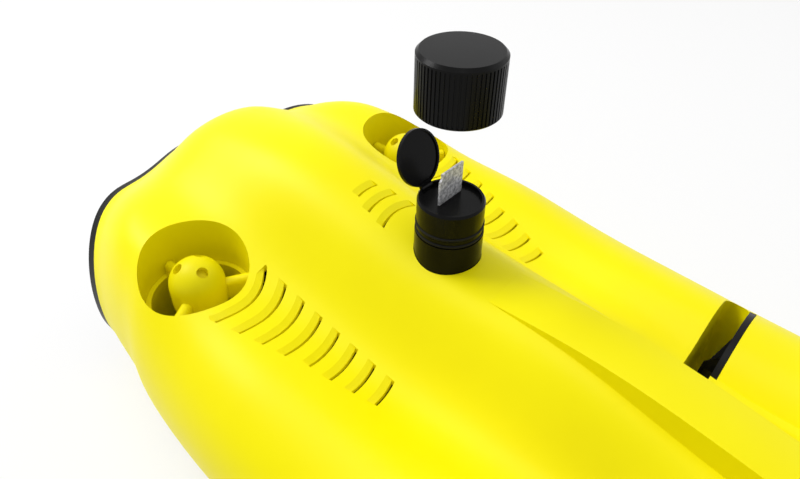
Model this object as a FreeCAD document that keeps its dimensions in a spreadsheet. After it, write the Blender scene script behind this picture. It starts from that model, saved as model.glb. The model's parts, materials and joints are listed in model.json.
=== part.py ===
"""Underwater inspection ROV: a parametric assembly of separate pieces, in millimetres.

Frame: +X to port, +Y aft (the nose points to -Y), +Z up. The origin is at the middle of the
craft, on the surface that its skids stand on.
"""
import FreeCAD, Part
import math
import os
import re

import Sketcher

doc = FreeCAD.newDocument("inspection_rov")
sheet = doc.addObject("Spreadsheet::Sheet", "dims")

# ---------------------------------------------------------------------------- driving dimensions
DIMENSIONS = [
    # hull
    ("hull_length", 385.0),
    ("hull_width", 226.0),
    ("deck_height", 108.7),
    ("keel_height", 7.7),
    ("beam_height", 50.7),
    ("parting_height", 44.0),
    ("hull_wall", 3.0),
    ("nose_arc", 136.0),
    ("mask_wall", 4.0),
    ("spine_width", 22.0),
    ("tower_radius", 28.0),
    ("tower_height", 95.0),
    # fits
    ("fit_gap", 0.2),
    ("run_gap", 0.05),
    ("part_gap", 0.3),
    # vertical thrusters
    ("well_across", 69.6),
    ("well_ahead", 95.2),
    ("rear_well_inset", 37.0),
    ("rear_well_drop", 12.0),
    ("well_radius", 23.5),
    ("well_wall", 2.5),
    ("duct_radius", 21.0),
    ("duct_top", 75.7),
    ("grille_thickness", 3.0),
    ("grille_lift", 2.0),
    ("dome_radius", 12.1),
    ("dome_height", 86.6),
    ("dome_hole", 5.0),
    ("dome_hole_tilt", 56.0),
    ("strut_width", 5.0),
    ("strut_height", 7.0),
    ("strut_ring_height", 3.5),
    ("motor_radius", 10.0),
    ("motor_length", 19.0),
    ("shaft_radius", 1.5),
    ("shaft_length", 31.5),
    ("vertical_prop_radius", 20.2),
    ("prop_hub_radius", 6.5),
    ("prop_hub_length", 12.0),
    ("prop_gap", 2.0),
    # horizontal thrusters
    ("pod_across", 70.0),
    ("pod_height", 46.7),
    ("pod_radius", 31.2),
    ("pod_wall", 2.6),
    ("guard_behind", 92.0),
    ("guard_thickness", 2.5),
    ("guard_radius", 34.0),
    ("guard_opening", 28.8),
    ("guard_hub_radius", 11.5),
    ("guard_nose_radius", 5.0),
    ("guard_nose_length", 7.0),
    ("slot_length", 11.0),
    ("slot_inboard", 38.0),
    ("slot_outboard", 92.0),
    ("nozzle_wall", 2.2),
    ("nozzle_setback", 3.0),
    ("thrust_prop_radius", 27.8),
    # canister
    ("hatch_ahead", 12.5),
    ("canister_radius", 13.5),
    ("canister_foot_radius", 14.0),
    ("canister_height", 27.05),
    ("canister_bore", 10.2),
    ("canister_step", 11.8),
    ("seal_pitch", 3.3),
    ("seal_radius", 0.9),
    ("seal_cord", 0.65),
    ("flange_radius", 20.0),
    ("flange_thickness", 3.0),
    ("spigot_radius", 11.8),
    ("nut_radius", 17.0),
    ("nut_height", 4.0),
    ("card_width", 14.0),
    ("card_length", 18.0),
    ("card_thickness", 0.9),
    ("card_travel", 13.4),
    ("card_aside", 1.6),
    ("card_ahead", 2.0),
    ("lid_radius", 11.5),
    ("lid_gap", 0.5),
    ("lid_thickness", 1.5),
    ("lid_rim", 0.9),
    ("lid_angle", 110.0),
    ("lid_reach", 12.5),
    ("knuckle_radius", 1.0),
    ("knuckle_width", 6.0),
    ("pin_radius", 0.45),
    ("pin_length", 9.6),
    ("cap_radius", 15.8),
    ("cap_bore", 14.3),
    ("cap_height", 22.3),
    ("cap_roof", 2.2),
    ("cap_bevel", 1.2),
    ("cap_lift", 56.9),
    ("rib_count", 60.0),
    ("rib_depth", 0.35),
    ("gasket_thickness", 1.0),
    # electronics
    ("housing_width", 76.0),
    ("housing_setback", 52.5),
    ("housing_back", 66.0),
    ("housing_bottom", 17.7),
    ("housing_top", 60.0),
    ("housing_wall", 3.0),
    ("housing_corner", 9.0),
    ("housing_lid_thickness", 4.0),
    ("housing_seal", 1.6),
    ("battery_width", 62.0),
    ("battery_length", 84.0),
    ("battery_height", 32.0),
    ("board_width", 56.0),
    ("board_length", 96.0),
    ("board_thickness", 1.6),
    ("standoff_height", 8.0),
    # nose
    ("camera_height", 55.0),
    ("window_radius", 13.2),
    ("bezel_radius", 16.0),
    ("camera_depth", 26.0),
    ("lamp_across", 42.0),
    ("lamp_radius", 10.0),
    ("lamp_depth", 15.0),
    # underside
    ("skid_across", 32.0),
    ("skid_width", 9.0),
    ("skid_length", 250.0),
    ("insert_spacing_across", 40.0),
    ("insert_spacing_along", 60.0),
    ("insert_radius", 3.6),
    ("insert_bore", 2.1),
    ("insert_length", 8.0),
    ("boss_radius", 6.5),
    ("weight_across", 53.0),
    ("weight_width", 12.0),
    ("weight_length", 80.0),
    ("weight_height", 9.0),
    # fasteners
    ("column_radius", 4.6),
    ("screw_radius", 1.5),
    ("screw_head_radius", 2.9),
    ("screw_head_height", 2.4),
    ("screw_length", 44.0),
    # tether
    ("tether_height", 36.0),
    ("tether_radius", 7.0),
    ("tether_flange", 10.5),
    ("tether_bore", 5.5),
    ("tether_gland", 8.0),
    ("tether_plate", 2.5),
]

for row, (name, value) in enumerate(DIMENSIONS, start=1):
    sheet.set(f"A{row}", name)
    sheet.set(f"B{row}", str(value))
    sheet.setAlias(f"B{row}", name)
doc.recompute()


def lookup(name):
    """A driving dimension as a number."""
    return float(sheet.get(name))


class Sizes:
    """Every driving dimension as an attribute, for the shapes that functions make."""


dim = Sizes()
for name, _ in DIMENSIONS:
    setattr(dim, name, lookup(name))


def bound(text):
    """Turns "cap_radius - rib_depth" into the expression that reads those cells."""
    return re.sub(r"[a-z]+(?:_[a-z]+)+", lambda word: "dims." + word.group(0), text)


def number(text):
    """The value of such an expression now."""
    return float(sheet.evalExpression(bound(text)))


def place(item, x="0", y="0", z="0", axis=(0, 0, 1), angle=0.0):
    """Puts an object at named coordinates, turned about an axis."""
    turn = FreeCAD.Rotation(FreeCAD.Vector(*axis), angle)
    item.Placement = FreeCAD.Placement(FreeCAD.Vector(number(x), number(y), number(z)), turn)
    for letter, text in zip("xyz", (x, y, z)):
        if re.search("[a-z]", text):
            item.setExpression(f"Placement.Base.{letter}", bound(text))
    return item


# ------------------------------------------------------------------------------ sketched bodies
def new_body(label):
    body = doc.addObject("PartDesign::Body", label)
    body.Label = label
    return body


def new_sketch(body, plane, lift="0"):
    """A sketch on one of the body's own origin planes, lifted along that plane's normal."""
    sketch = body.newObject("Sketcher::SketchObject", "profile")
    support = [f for f in body.Origin.OriginFeatures if f.Role == plane][0]
    sketch.AttachmentSupport = [(support, "")]
    sketch.MapMode = "FlatFace"
    if lift != "0":
        sketch.AttachmentOffset = FreeCAD.Placement(
            FreeCAD.Vector(0, 0, number(lift)), FreeCAD.Rotation())
        sketch.setExpression("AttachmentOffset.Base.z", bound(lift))
    return sketch


def hold(sketch, geometry, point, where):
    """Fixes one point of a sketch at a pair of named coordinates."""
    for kind, axis_line, text in (("DistanceX", -2, where[0]), ("DistanceY", -1, where[1])):
        if text == "0":
            sketch.addConstraint(Sketcher.Constraint("PointOnObject", geometry, point, axis_line))
            continue
        index = sketch.addConstraint(
            Sketcher.Constraint(kind, -1, 1, geometry, point, number(text)))
        sketch.setExpression(f"Constraints[{index}]", bound(text))


def polygon(sketch, corners):
    """A closed outline through corners given as pairs of expressions."""
    first = sketch.GeometryCount
    points = [FreeCAD.Vector(number(x), number(y), 0) for x, y in corners]
    for start, end in zip(points, points[1:] + points[:1]):
        sketch.addGeometry(Part.LineSegment(start, end))
    for step, corner in enumerate(corners):
        line = first + step
        following = first + (step + 1) % len(corners)
        sketch.addConstraint(Sketcher.Constraint("Coincident", line, 2, following, 1))
        hold(sketch, line, 1, corner)


def circle(sketch, radius, centre=("0", "0")):
    """A circle with a named radius and centre."""
    middle = FreeCAD.Vector(number(centre[0]), number(centre[1]), 0)
    index = sketch.addGeometry(Part.Circle(middle, FreeCAD.Vector(0, 0, 1), number(radius)))
    size = sketch.addConstraint(Sketcher.Constraint("Radius", index, number(radius)))
    sketch.setExpression(f"Constraints[{size}]", bound(radius))
    if centre == ("0", "0"):
        sketch.addConstraint(Sketcher.Constraint("Coincident", index, 3, -1, 1))
    else:
        hold(sketch, index, 3, centre)


def box_corners(x0, y0, x1, y1):
    """The four corners of a rectangle."""
    return [(x0, y0), (x1, y0), (x1, y1), (x0, y1)]


def pad(body, sketch, length, downwards=False):
    feature = body.newObject("PartDesign::Pad", "pad")
    feature.Profile = sketch
    feature.setExpression("Length", bound(length))
    feature.Reversed = downwards
    return feature


def pocket(body, sketch, length, upwards=False):
    feature = body.newObject("PartDesign::Pocket", "pocket")
    feature.Profile = sketch
    feature.setExpression("Length", bound(length))
    feature.Reversed = upwards
    return feature


def turn(body, corners, kind="PartDesign::Revolution"):
    """Turns an outline of (radius, height) corners about the body's own Z axis."""
    sketch = new_sketch(body, "XZ_Plane")
    polygon(sketch, corners)
    feature = body.newObject(kind, "turned")
    feature.Profile = sketch
    feature.ReferenceAxis = (sketch, ["V_Axis"])
    feature.Angle = 360
    return feature


def tube(inner, outer, bottom, top):
    """The outline of a plain ring."""
    return box_corners(inner, bottom, outer, top)


def pattern(body, feature, count):
    """Repeats a feature round the body's own Z axis."""
    ring = body.newObject("PartDesign::PolarPattern", "ring")
    ring.Originals = [feature]
    axis = [f for f in body.Origin.OriginFeatures if f.Role == "Z_Axis"][0]
    ring.Axis = (axis, [""])
    ring.Angle = 360
    ring.Occurrences = int(count)
    body.Tip = ring
    return ring


def round_edges(body, feature, radius, wanted, kind="PartDesign::Fillet"):
    """Fillets or chamfers the edges that a test picks."""
    doc.recompute()
    names = [f"Edge{i}" for i, edge in enumerate(feature.Shape.Edges, start=1) if wanted(edge)]
    finish = body.newObject(kind, "finish")
    finish.Base = (feature, names)
    finish.setExpression("Radius" if kind.endswith("Fillet") else "Size", bound(radius))
    return finish


def is_ring(edge, radius, height):
    """Whether an edge is a circle of this radius at this height on the Z axis."""
    curve = edge.Curve
    if not isinstance(curve, Part.Circle):
        return False
    return abs(curve.Radius - radius) < 1e-3 and abs(curve.Center.z - height) < 1e-3


# ---------------------------------------------------------------------------- Part-made solids
def primitive(kind, name, sizes, **where):
    item = doc.addObject(kind, name)
    for key, text in sizes.items():
        item.setExpression(key, bound(text))
    return place(item, **where)


def made(name, shape):
    """A solid that only Part's own functions can give."""
    item = doc.addObject("Part::Feature", name)
    item.Shape = shape
    return item


def fuse(name, items):
    item = doc.addObject("Part::MultiFuse", name)
    item.Shapes = items
    return item


def cut(name, base, tool):
    item = doc.addObject("Part::Cut", name)
    item.Base = base
    item.Tool = tool
    return item


def common(name, items):
    item = doc.addObject("Part::MultiCommon", name)
    item.Shapes = items
    return item


# ------------------------------------------------------------------------------------ hull form
# The hull's lines, nose to tail: where the station lies, then the half-width, the height of the
# middle line, the height of the wing's crest and the depth of the valley between them, each as a
# share of the hull's length, width or deck height.
HULL_LINES = [
    # along, half-width, middle, wing, valley
    (-0.490, 0.420, 0.846, 0.842, 0.032),
    (-0.458, 0.427, 0.957, 0.892, 0.032),
    (-0.417, 0.438, 1.072, 0.948, 0.032),
    (-0.357, 0.449, 1.127, 0.957, 0.028),
    (-0.279, 0.467, 1.141, 0.929, 0.041),
    (-0.188, 0.486, 1.109, 0.846, 0.069),
    (-0.084, 0.500, 1.035, 0.796, 0.106),
    (0.032, 0.491, 0.989, 0.741, 0.129),
    (0.149, 0.473, 0.949, 0.736, 0.129),
    (0.266, 0.460, 0.848, 0.731, 0.129),
    (0.383, 0.456, 0.770, 0.727, 0.101),
    (0.500, 0.451, 0.696, 0.713, 0.064),
]
WING_SHARE = 0.68       # where the wing's crest lies, as a share of the half-width
BILGE_SHARE = 0.60      # where the flat bottom ends
VALLEY_START = 0.12
BOW_FADE = 0.30         # the share of the length over which the sections' bow fades out
TOP_POINTS = 29
SIDE_POINTS = 12
BILGE_POINTS = 12
RING_STEPS = 16         # evenly spaced points of one side of a section
POLE_ROUNDS = 40
KEEL_TRIM = 0.5         # how much of the sections' underside is trimmed to a flat keel


def ease(share):
    """Rises from 0 to 1 with level ends."""
    share = min(max(share, 0.0), 1.0)
    return (1 - math.cos(math.pi * share)) / 2


def half_section(half_width, middle, wing, valley, keel):
    """Points of one side of a section, from the middle line over the wing to the keel."""
    points = []
    for step in range(TOP_POINTS):
        share = WING_SHARE * step / (TOP_POINTS - 1)
        height = middle + (wing - middle) * ease(share / WING_SHARE)
        dip = (share - VALLEY_START) / (WING_SHARE - VALLEY_START)
        height -= valley * math.sin(math.pi * min(max(dip, 0.0), 1.0)) ** 2
        points.append((half_width * share, height))
    for step in range(1, SIDE_POINTS + 1):
        angle = math.pi / 2 * step / SIDE_POINTS
        points.append((half_width * (WING_SHARE + (1 - WING_SHARE) * math.sin(angle)),
                       dim.beam_height + (wing - dim.beam_height) * math.cos(angle)))
    for step in range(1, BILGE_POINTS + 1):
        angle = math.pi / 2 * step / BILGE_POINTS
        reach = max(math.cos(angle), 0.0) ** 0.9
        points.append((half_width * (BILGE_SHARE + (1 - BILGE_SHARE) * reach),
                       dim.beam_height + (keel - dim.beam_height) * math.sin(angle) ** 0.9))
    points.append((0.0, keel))
    return evenly_spaced(points, RING_STEPS)


def evenly_spaced(points, steps):
    """Points at equal distances along a line of many points, with both its ends."""
    lengths = [0.0]
    for (x0, z0), (x1, z1) in zip(points, points[1:]):
        lengths.append(lengths[-1] + math.hypot(x1 - x0, z1 - z0))
    spread = []
    piece = 0
    for step in range(steps + 1):
        target = lengths[-1] * step / steps
        while piece < len(points) - 2 and lengths[piece + 1] < target:
            piece += 1
        share = (target - lengths[piece]) / (lengths[piece + 1] - lengths[piece])
        (x0, z0), (x1, z1) = points[piece], points[piece + 1]
        spread.append((x0 + (x1 - x0) * share, z0 + (z1 - z0) * share))
    return spread


def bow(x, along):
    """How far a section is bent aft at x: fully at the nose, not at all amidships."""
    fade = 1 - ease((along - HULL_LINES[0][0]) / BOW_FADE)
    reach = min(abs(x), 0.85 * dim.nose_arc)
    return fade * (dim.nose_arc - math.sqrt(dim.nose_arc ** 2 - reach ** 2))


def hull_section(line, inset):
    """A closed ring of points for one line of the table, moved inwards by the inset."""
    along, half_width, middle, wing, valley = line
    half = half_section(half_width * dim.hull_width - inset, middle * dim.deck_height - inset,
                        wing * dim.deck_height - inset, valley * dim.deck_height,
                        dim.keel_height + inset - KEEL_TRIM)
    y = along * dim.hull_length
    port = [FreeCAD.Vector(x, y + bow(x, along), z) for x, z in half]
    port.reverse()
    starboard = [FreeCAD.Vector(-p.x, p.y, p.z) for p in port[-2:0:-1]]
    return port + starboard


def ring_poles(points):
    """Poles of the smooth closed curve, with evenly spaced knots, that passes through the points."""
    poles = list(points)
    count = len(points)
    for _ in range(POLE_ROUNDS):
        poles = [(point * 6 - poles[i - 1] - poles[(i + 1) % count]) * 0.25
                 for i, point in enumerate(points)]
    return poles


def skin(rings, stations):
    """A smooth closed solid through rings of points, flat at its first and last ring."""
    count = len(rings[0])
    columns = []
    for column in zip(*[ring_poles(ring) for ring in rings]):
        curve = Part.BSplineCurve()
        curve.interpolate(Points=list(column), Parameters=stations)
        columns.append(curve.getPoles())
    surface = Part.BSplineSurface()
    surface.buildFromPolesMultsKnots(
        columns, [1] * (count + 1), curve.getMultiplicities(),
        list(range(count + 1)), curve.getKnots(), True, False, 3, 3)
    side = surface.toShape()
    ends = [surface.vIso(knot).toShape() for knot in (stations[0], stations[-1])]
    caps = [Part.Face(Part.Wire([edge])) for edge in ends]
    shell = Part.makeShell([side] + caps)
    shell.sewShape()
    solid = Part.makeSolid(shell)
    if solid.Volume < 0:
        solid.reverse()
    return solid


def hull_solid(inset):
    """The hull's outer form, or its hollow when an inset is given."""
    lead = dim.nose_arc * 0.1
    rings = [hull_section(line, inset) for line in HULL_LINES]
    first_y = HULL_LINES[0][0] * dim.hull_length - lead
    flat_ring = [FreeCAD.Vector(p.x, first_y, p.z) for p in rings[0]]
    stations = [first_y] + [line[0] * dim.hull_length for line in HULL_LINES]
    above_keel = Part.makeBox(400, 600, 300, FreeCAD.Vector(-200, -300, dim.keel_height + inset))
    return skin([flat_ring] + rings, stations).common(above_keel)


def nose_cylinder(radius):
    """A tall cylinder about the axis that the nose's face is curved round."""
    centre = FreeCAD.Vector(0, dim.nose_arc - dim.hull_length / 2, -10)
    return Part.makeCylinder(radius, 200, centre)


def behind_nose(solid, radius):
    """The part of a solid that lies within the nose's curve or aft of its axis."""
    axis_y = dim.nose_arc - dim.hull_length / 2
    aft = Part.makeBox(400, 600, 300, FreeCAD.Vector(-200, axis_y, -20))
    return solid.common(nose_cylinder(radius).fuse(aft))


# ---------------------------------------------------------------------------------- hull shells
outer_skin = hull_solid(0)
LONG = "hull_length"
NOSE_FACE = "hull_length / 2 - mask_wall"
SLOT_FRONT = "guard_behind - slot_length"

hull_form = made("hull_form", behind_nose(outer_skin, dim.nose_arc - dim.mask_wall))
tail_room = Part.makeBox(400, dim.hull_length - dim.hull_wall, 300,
                         FreeCAD.Vector(-200, -dim.hull_length / 2, -20))
hollow_skin = behind_nose(hull_solid(dim.hull_wall), dim.nose_arc - dim.mask_wall - dim.hull_wall)
hull_hollow = made("hull_hollow", hollow_skin.common(tail_room))


def deck_at(x, y):
    """The height of the hull's outer surface above a point of the plan."""
    line = Part.makeLine(FreeCAD.Vector(x, y, dim.parting_height), FreeCAD.Vector(x, y, 200))
    return line.common(outer_skin).BoundBox.ZMax


# The spine stands on the hull's falling middle line: where it lies along the hull and its height.
SPINE_LINES = [(0.03, 0.985), (0.07, 0.990), (0.16, 0.995), (0.25, 0.963), (0.33, 0.915), (0.40, 0.880)]
SPINE_CROWN = 1.2
SPINE_ROOT = 40.0


def spine_section(along, height):
    """A post with a crowned top, across the hull at one place along it."""
    y = along * dim.hull_length
    top = height * dim.deck_height
    half = dim.spine_width / 2
    foot = top - SPINE_ROOT
    corner = FreeCAD.Vector(half, y, top - SPINE_CROWN)
    other = FreeCAD.Vector(-half, y, top - SPINE_CROWN)
    crown = Part.Arc(corner, FreeCAD.Vector(0, y, top), other).toShape()
    return Part.Wire([
        crown,
        Part.makeLine(other, FreeCAD.Vector(-half, y, foot)),
        Part.makeLine(FreeCAD.Vector(-half, y, foot), FreeCAD.Vector(half, y, foot)),
        Part.makeLine(FreeCAD.Vector(half, y, foot), corner)])


spine = made("spine", Part.makeLoft([spine_section(*line) for line in SPINE_LINES], True))
tower = primitive("Part::Cylinder", "tower",
                  {"Radius": "tower_radius", "Height": "tower_height - deck_height / 2"},
                  y="hull_length / 2 - rear_well_inset", z="deck_height / 2")

WELLS = {
    "port": ("well_across", "-well_ahead", "0"),
    "starboard": ("-well_across", "-well_ahead", "0"),
    "rear": ("0", "hull_length / 2 - rear_well_inset", "rear_well_drop"),
}
PODS = {"port": "pod_across", "starboard": "-pod_across"}
SIDES = {"port": 1, "starboard": -1}


def along_y(name, radius, length, x, y, z):
    """A cylinder that runs aft from y."""
    return primitive("Part::Cylinder", name, {"Radius": radius, "Height": length},
                     x=x, y=y, z=z, axis=(1, 0, 0), angle=-90)


def upright(name, radius, length, x, y, z):
    return primitive("Part::Cylinder", name, {"Radius": radius, "Height": length}, x=x, y=y, z=z)


def slot_prism(side, margin, name):
    """The intake slot's upright channel, round at its outboard end, widened by a margin."""
    reach = SIDES[side]
    width = dim.slot_length + 2 * margin
    inboard = dim.slot_inboard - margin
    round_x = dim.slot_outboard + margin - width / 2
    middle_y = dim.guard_behind - dim.slot_length / 2
    box = Part.makeBox(round_x - inboard, width, 200,
                       FreeCAD.Vector(inboard, middle_y - width / 2, -10))
    end = Part.makeCylinder(width / 2, 200, FreeCAD.Vector(round_x, middle_y, -10))
    prism = box.fuse(end).removeSplitter()
    if reach < 0:
        prism = prism.mirror(FreeCAD.Vector(0, 0, 0), FreeCAD.Vector(1, 0, 0))
    return made(name, prism)


# Where the case screws stand: on both sides of the middle line.
COLUMNS = [("48", "-150"), ("86", "-40"), ("86", "40"), ("24", "112")]
column_places = [(sign * float(x), float(y)) for x, y in COLUMNS for sign in (1, -1)]
insert_places = [
    (sx * dim.insert_spacing_across / 2, sy * dim.insert_spacing_along / 2)
    for sx in (1, -1) for sy in (1, -1)]

pod_forms = [
    along_y(f"pod_form_{side}", "pod_radius + pod_wall",
            "hull_length / 2 - guard_behind - guard_thickness", x,
            "guard_behind + guard_thickness", "pod_height") for side, x in PODS.items()]
hull_body = fuse("hull_body", [hull_form, spine, tower] + pod_forms)

walls = []
bores = []
for well, (x, y, drop) in WELLS.items():
    walls.append(upright(f"well_wall_{well}", "well_radius + well_wall", "deck_height * 2",
                         x, y, "-hull_wall"))
    bores.append(upright(f"well_bore_{well}", "well_radius", "deck_height * 2", x, y, "-hull_wall"))
for side, x in PODS.items():
    walls.append(along_y(f"pod_wall_{side}", "pod_radius + pod_wall", LONG,
                         x, SLOT_FRONT, "pod_height"))
    walls.append(slot_prism(side, dim.hull_wall, f"slot_wall_{side}"))
    bores.append(along_y(f"pod_bore_{side}", "pod_radius", LONG, x,
                         "guard_behind + guard_thickness / 2", "pod_height"))
    bores.append(along_y(f"guard_seat_{side}", "guard_radius + fit_gap",
                         "guard_thickness + 2 * fit_gap", x,
                         "guard_behind - fit_gap", "pod_height"))
    bores.append(slot_prism(side, 0.0, f"slot_{side}"))
for index, (x, y) in enumerate(column_places):
    walls.append(upright(f"column_{index}", "column_radius", "deck_height * 2",
                         str(x), str(y), "-hull_wall"))
for index, (x, y) in enumerate(insert_places):
    walls.append(upright(f"insert_boss_{index}", "boss_radius", "housing_bottom + hull_wall",
                         str(x), str(y), "-hull_wall"))
bores.append(upright("hatch_hole", "canister_foot_radius + fit_gap", LONG,
                     "0", "-hatch_ahead", "housing_top"))
bores.append(along_y("camera_hole", "bezel_radius + fit_gap", "hull_length / 8",
                     "0", "-hull_length / 2", "camera_height"))
for side, reach in SIDES.items():
    bores.append(along_y(f"lamp_hole_{side}", "lamp_radius + fit_gap", "hull_length / 8",
                         f"{reach} * lamp_across", "-hull_length / 2", "camera_height"))
bores.append(along_y("tether_hole", "tether_radius + fit_gap", "hull_length / 8",
                     "0", "hull_length / 2 - hull_length / 16", "tether_height"))

hull_void = cut("hull_void", hull_hollow, fuse("inner_walls", walls))
hull_skin = cut("hull_skin", hull_body, hull_void)
hull_cut = cut("hull_cut", hull_skin, fuse("hull_bores", bores))
hull_cut.Refine = False

# ---------------------------------------------------------------------------------- louvers
LOUVER_COUNT = 8
LOUVER_FIRST = 31.0
LOUVER_PITCH = 9.6
LOUVER_INBOARD = 47.0
LOUVER_OUTBOARD = ((83.0, -75.0), (58.0, 8.0))
LOUVER_RAMP = 5.0
LOUVER_DEPTH = 1.4
LOUVER_SLOT = 1.6
CENTRE_LOUVERS = ((28.0, 10.5), (36.8, 9.0), (45.0, 6.0))


def louver(centre, radius, angles, ramp, region):
    """A ramp that sinks towards a narrow slot, along an arc about a centre in the plan.

    ramp is positive where it lies inside the arc and negative where it lies outside it.
    """
    sections = []
    direction = 1 if ramp > 0 else -1
    for angle in angles:
        across = -math.sin(math.radians(angle))
        aft = math.cos(math.radians(angle))

        def at(reach, height):
            return FreeCAD.Vector(centre[0] + reach * across, centre[1] + reach * aft, height)

        start = radius - ramp
        mouth = radius - direction * LOUVER_SLOT
        start_z = deck_at(at(start, 0).x, at(start, 0).y)
        mouth_z = deck_at(at(mouth, 0).x, at(mouth, 0).y)
        end_z = deck_at(at(radius, 0).x, at(radius, 0).y)
        fall = LOUVER_DEPTH * (abs(ramp) - LOUVER_SLOT) / abs(ramp)
        deep = 2 * dim.hull_wall
        sections.append(Part.makePolygon([
            at(start, start_z + 0.2), at(mouth, mouth_z - fall), at(mouth, mouth_z - deep),
            at(radius, end_z - deep), at(radius, end_z + deep), at(start, start_z + deep),
            at(start, start_z + 0.2)]))
    return Part.makeLoft(sections, True).common(region)


def upright_prism(corners):
    """A tall prism on corners of the plan."""
    wire = Part.makePolygon([FreeCAD.Vector(x, y, 0) for x, y in corners + corners[:1]])
    return Part.Face(wire).extrude(FreeCAD.Vector(0, 0, 200))


def louver_region(sign):
    """The plan area that the side louvers keep within."""
    (x0, y0), (x1, y1) = LOUVER_OUTBOARD
    corners = [(LOUVER_INBOARD, y0), (x0, y0), (x1, y1), (LOUVER_INBOARD, y1)]
    return upright_prism([(sign * x, y) for x, y in corners])


louvers = []
for side, sign in SIDES.items():
    region = louver_region(sign)
    for index in range(LOUVER_COUNT):
        radius = LOUVER_FIRST + LOUVER_PITCH * index
        inner = math.degrees(math.asin(min(0.78, (dim.well_across - LOUVER_INBOARD) / radius))) + 4
        outer = -24.0 + 26.0 * min(index, 4) / 4
        steps = 5
        angles = [outer + (inner - outer) * k / (steps - 1) for k in range(steps)]
        centre = (sign * dim.well_across, -dim.well_ahead)
        louvers.append(louver(centre, radius, [sign * a for a in angles], LOUVER_RAMP, region))
for radius, half in CENTRE_LOUVERS:
    region = upright_prism([(-half, -90), (half, -90), (half, -20), (-half, -20)])
    reach = math.degrees(math.asin(half / radius)) + 5
    angles = [180 - reach + 2 * reach * k / 4 for k in range(5)]
    louvers.append(louver((0, -dim.hatch_ahead), radius, angles, -LOUVER_RAMP, region))
louver_tools = made("louver_tools", Part.makeCompound(louvers))

above = primitive("Part::Box", "above_parting",
                  {"Length": "2 * hull_width", "Width": "2 * hull_length", "Height": "2 * deck_height"},
                  x="-hull_width", y="-hull_length", z="parting_height")
below = primitive("Part::Box", "below_parting",
                  {"Length": "2 * hull_width", "Width": "2 * hull_length",
                   "Height": "parting_height + hull_wall"},
                  x="-hull_width", y="-hull_length", z="-hull_wall")

screw_pilots = fuse("screw_pilots", [
    upright(f"pilot_{i}", "screw_radius", "screw_length", str(x), str(y),
            "keel_height + screw_head_height")
    for i, (x, y) in enumerate(column_places)])
upper_half = common("upper_half", [hull_cut, above])
upper_open = cut("upper_open", upper_half, louver_tools)
upper_shell = cut("upper_shell", upper_open, screw_pilots)

lower_tools = []
for i, (x, y) in enumerate(column_places):
    lower_tools.append(upright(f"clearance_{i}", "screw_radius + fit_gap", "parting_height * 2",
                               str(x), str(y), "-hull_wall"))
    lower_tools.append(upright(f"counterbore_{i}", "screw_head_radius + fit_gap",
                               "keel_height + screw_head_height + hull_wall",
                               str(x), str(y), "-hull_wall"))
for i, (x, y) in enumerate(insert_places):
    lower_tools.append(upright(f"insert_hole_{i}", "insert_radius", "insert_length + keel_height",
                               str(x), str(y), "0"))
lower_half = common("lower_half", [hull_cut, below])
lower_shell = cut("lower_shell", lower_half, fuse("lower_holes", lower_tools))
doc.recompute()

# ------------------------------------------------------------------------------------- nose
NOSE_Y = "-hull_length / 2"


def ahead_of_nose():
    """The thin curved plate between the hull's front edge and the nose's outer arc."""
    plate = nose_cylinder(dim.nose_arc).cut(nose_cylinder(dim.nose_arc - dim.mask_wall))
    plate = plate.common(outer_skin)
    front = Part.makeBox(400, dim.nose_arc, 300, FreeCAD.Vector(-200, -dim.hull_length / 2 - 1, -20))
    return plate.common(front)


mask_blank = made("mask_blank", ahead_of_nose())
mask_holes = [along_y("mask_camera_hole", "bezel_radius + fit_gap", "hull_length / 8",
                      "0", NOSE_Y, "camera_height")]
for side, reach in SIDES.items():
    mask_holes.append(along_y(f"mask_lamp_hole_{side}", "lamp_radius + fit_gap", "hull_length / 8",
                              f"{reach} * lamp_across", NOSE_Y, "camera_height"))
nose_mask = cut("nose_mask", mask_blank, fuse("mask_holes", mask_holes))


def aft_facing(body, x, y, z):
    """Places a body so that its own +Z points aft."""
    return place(body, x=x, y=y, z=z, axis=(1, 0, 0), angle=-90)


camera_bezel = new_body("camera_bezel")
turn(camera_bezel, [
    ("window_radius - 1.5", "0.6"), ("window_radius", "0.2"), ("bezel_radius", "1.4"),
    ("bezel_radius", "9"), ("window_radius + fit_gap / 2", "9"),
    ("window_radius + fit_gap / 2", "3.2"), ("window_radius - 1.5", "3.2")])
aft_facing(camera_bezel, "0", NOSE_Y, "camera_height")

camera_window = new_body("camera_window")
turn(camera_window, box_corners("0", "3.2", "window_radius", "5.7"))
aft_facing(camera_window, "0", NOSE_Y, "camera_height")

camera_housing = new_body("camera_housing")
turn(camera_housing, [
    ("bezel_radius - 2", "9"), ("bezel_radius", "9"), ("bezel_radius", "camera_depth + 9"),
    ("0", "camera_depth + 9"), ("0", "camera_depth + 7"), ("bezel_radius - 2", "camera_depth + 7")])
aft_facing(camera_housing, "0", NOSE_Y, "camera_height")

camera_board = new_body("camera_board")
turn(camera_board, box_corners("0", "camera_depth + 7 - board_thickness",
                               "bezel_radius - 2 - fit_gap", "camera_depth + 7"))
aft_facing(camera_board, "0", NOSE_Y, "camera_height")

camera_lens = new_body("camera_lens")
turn(camera_lens, [
    ("0", "8.5"), ("5", "8.5"), ("6.5", "7.5"), ("8", "7.5"), ("8", "14"), ("7", "14"), ("7", "20"),
    ("9", "20"), ("9", "camera_depth + 7 - board_thickness"),
    ("0", "camera_depth + 7 - board_thickness")])
aft_facing(camera_lens, "0", NOSE_Y, "camera_height")


def nose_y_at(across):
    """The expression for the nose's outer face at a distance from the middle line."""
    return f"nose_arc - hull_length / 2 - sqrt(nose_arc * nose_arc - ({across}) * ({across}))"


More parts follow.
